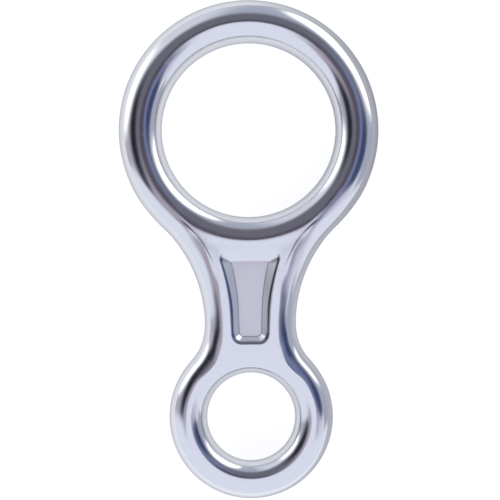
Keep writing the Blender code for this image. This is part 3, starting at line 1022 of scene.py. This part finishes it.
def soft_step(nodes, links, value, softness):
    """1 inside a card's outline and 0 outside. The outline lies at 1."""
    node = nodes.new("ShaderNodeMapRange")
    node.interpolation_type = "SMOOTHSTEP"
    node.inputs["From Min"].default_value = 1 + softness / 2
    node.inputs["From Max"].default_value = 1 - softness / 2
    links.new(value, node.inputs["Value"])
    return node.outputs["Result"]


def add_card(nodes, links, chart, behind, card):
    """Mixes a card's colour over the colour behind it."""
    outline, middle, half_sizes, turn, softness, colour = card
    local = nodes.new("ShaderNodeMapping")
    local.vector_type = "TEXTURE"
    local.inputs["Location"].default_value = (*middle, 0)
    local.inputs["Rotation"].default_value = (0, 0, math.radians(turn))
    local.inputs["Scale"].default_value = (*half_sizes, 1)
    links.new(chart, local.inputs["Vector"])
    if outline == "oval":
        reach = vector_node(nodes, links, "LENGTH", local.outputs["Vector"]).outputs["Value"]
        mask = soft_step(nodes, links, reach, softness / min(half_sizes))
    else:
        parts = nodes.new("ShaderNodeSeparateXYZ")
        links.new(local.outputs["Vector"], parts.inputs["Vector"])
        across = math_node(nodes, links, "ABSOLUTE", parts.outputs["X"])
        along = math_node(nodes, links, "ABSOLUTE", parts.outputs["Y"])
        across = soft_step(nodes, links, across, softness / half_sizes[0])
        along = soft_step(nodes, links, along, softness / half_sizes[1])
        mask = math_node(nodes, links, "MULTIPLY", across, along)
    mix = nodes.new("ShaderNodeMix")
    mix.data_type = "RGBA"
    links.new(mask, mix.inputs["Factor"])
    links.new(behind, mix.inputs["A"])
    mix.inputs["B"].default_value = (*colour, 1)
    return mix.outputs["Result"]


def tent_material():
    """Glowing cloth with every card on it, the first one at the back."""
    material = bpy.data.materials.new("tent_cloth")
    material.use_nodes = True
    nodes, links = material.node_tree.nodes, material.node_tree.links
    nodes.remove(nodes["Principled BSDF"])
    chart = add_chart(nodes, links)
    cloth = nodes.new("ShaderNodeRGB")
    cloth.outputs["Color"].default_value = (*TENT_CLOTH, 1)
    colour = cloth.outputs["Color"]
    for card in CARDS.values():
        colour = add_card(nodes, links, chart, colour, card)
    glow = nodes.new("ShaderNodeEmission")
    links.new(colour, glow.inputs["Color"])
    links.new(glow.outputs["Emission"], nodes["Material Output"].inputs["Surface"])
    return material


def raise_tent():
    """A ball round the piece that the camera sees through and the metal doesn't."""
    bm = bmesh.new()
    bmesh.ops.create_icosphere(bm, subdivisions=TENT_SUBDIVISIONS, radius=TENT_RADIUS)
    mesh = bpy.data.meshes.new("tent")
    bm.to_mesh(mesh)
    bm.free()
    mesh.materials.append(tent_material())
    tent = bpy.data.objects.new("tent", mesh)
    bpy.context.scene.collection.objects.link(tent)
    tent.visible_camera = False
    tent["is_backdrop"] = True
    return tent


tent = raise_tent()
print("tent:", len(tent.data.polygons), "faces,", len(tent.data.materials[0].node_tree.nodes), "nodes")

# %% [markdown]
# ## World
# Outside the tent everything is plain white. Only the camera sees it, behind the ground, when
# it looks from low down.

# %% White surroundings
world = bpy.data.worlds.new("white_surroundings")
world.use_nodes = True
world.node_tree.nodes["Background"].inputs["Color"].default_value = (1, 1, 1, 1)
world.node_tree.nodes["Background"].inputs["Strength"].default_value = 1.0
bpy.context.scene.world = world
bpy.context.scene.view_settings.view_transform = "Standard"
print("world:", world.name)

# %% [markdown]
# ## Camera
# The picture was taken straight from above with the piece turned by half a degree. The eyes'
# walls show only a little, so the camera stands some forty centimetres above the piece. The lens
# follows from that distance and from how much of the ground the picture takes in.

# %% Place the camera
CAMERA_HEIGHT = 0.42
PICTURE_WIDTH = 135.59 * MM
PICTURE_MIDDLE = (0.084 * MM, -0.215 * MM)
PICTURE_ROLL = -0.52
SENSOR_WIDTH = 36
NEAREST = 0.05
FARTHEST = 20

camera_data = bpy.data.cameras.new("camera")
camera_data.sensor_width = SENSOR_WIDTH
camera_data.lens = SENSOR_WIDTH * CAMERA_HEIGHT / PICTURE_WIDTH
camera_data.clip_start = NEAREST
camera_data.clip_end = FARTHEST
camera = bpy.data.objects.new("camera", camera_data)
camera.location = (*PICTURE_MIDDLE, LARGE_THICKNESS / 2 + CAMERA_HEIGHT)
camera.rotation_euler = (0, 0, math.radians(PICTURE_ROLL))
bpy.context.scene.collection.objects.link(camera)
bpy.context.scene.camera = camera
print("lens", round(camera_data.lens, 1), "mm")

# %% [markdown]
# ## Sizes at the end
# The finished body should measure what the imported model measures. Both boxes are printed.

# %% Print both sizes
scene_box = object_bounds()
scene_size = [round((high - low) / MM, 2) for low, high in zip(*scene_box)]
print("packed", cad_size, "mm, finished", scene_size, "mm")
